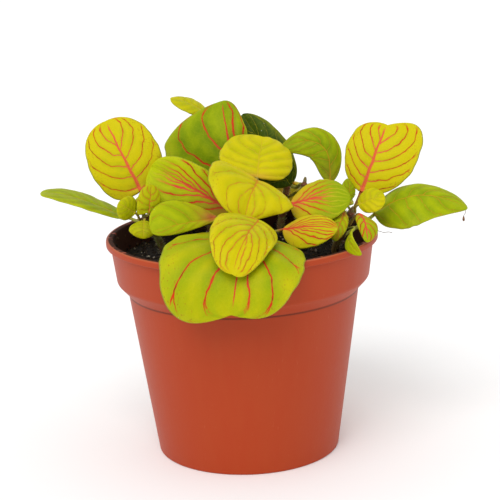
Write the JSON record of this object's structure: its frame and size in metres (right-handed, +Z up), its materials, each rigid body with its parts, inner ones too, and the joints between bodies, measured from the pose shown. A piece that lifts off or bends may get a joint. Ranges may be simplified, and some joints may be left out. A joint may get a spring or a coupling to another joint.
{
  "type": "potted nerve plant",
  "caption": "Small foliage plant with red-veined lime and green oval leaves, growing in compost in a round terracotta-coloured plastic nursery pot.",
  "frame": {"origin": "centre of the pot's foot, on the surface that it stands on", "axes": "+Z up; +Y towards the plant's rear; +X to the right seen from the front, across the widest spread of leaves"},
  "size_m": [0.1863, 0.1542, 0.1524],
  "materials": {
    "leaf_lime": null,
    "leaf_green": null,
    "leaf_olive": null,
    "stem_green": null,
    "terracotta_plastic": "moulded polypropylene, terracotta colour, semi-matt",
    "peat_compost": null
  },
  "bodies": {
    "root": {"leaf_back_folded": "leaf_green", "leaf_back_left": "leaf_green", "leaf_back_right": "leaf_olive", "leaf_crown_back": "leaf_lime", "leaf_crown_front": "leaf_lime", "leaf_crown_left": "leaf_green", "leaf_crown_low_left": "leaf_green", "leaf_crown_low_right": "leaf_lime", "leaf_crown_right": "leaf_lime", "leaf_front_large": "leaf_lime", "leaf_front_small": "leaf_lime", "leaf_left_low": "leaf_green", "leaf_left_round": "leaf_lime", "leaf_mid_left": "leaf_green", "leaf_mid_right": "leaf_green", "leaf_rear_between": "leaf_green", "leaf_rear_centre": "leaf_lime", "leaf_rear_inner": "leaf_lime", "leaf_rear_inner_left": "leaf_lime", "leaf_rear_inner_right": "leaf_lime", "leaf_rear_left": "leaf_green", "leaf_rear_low": "leaf_lime", "leaf_rear_right": "leaf_green", "leaf_rear_top": "leaf_lime", "leaf_rear_top_small": "leaf_lime", "leaf_right_low": "leaf_green", "leaf_right_tall": "leaf_lime", "pot": "terracotta_plastic", "soil": "peat_compost", "stem_back": "stem_green", "stem_back_right": "stem_green", "stem_crown": "stem_green", "stem_front": "stem_green", "stem_left": "stem_green", "stem_rear_left": "stem_green", "stem_rear_right": "stem_green", "stem_right": "stem_green", "young_leaf_left_a": "leaf_lime", "young_leaf_left_b": "leaf_lime", "young_leaf_left_c": "leaf_lime", "young_leaf_rear": "leaf_lime", "young_leaf_right_a": "leaf_lime", "young_leaf_right_b": "leaf_green", "young_leaf_right_c": "leaf_lime", "young_leaf_right_d": "leaf_lime", "young_leaf_right_e": "leaf_green"}
  },
  "joints": []
}
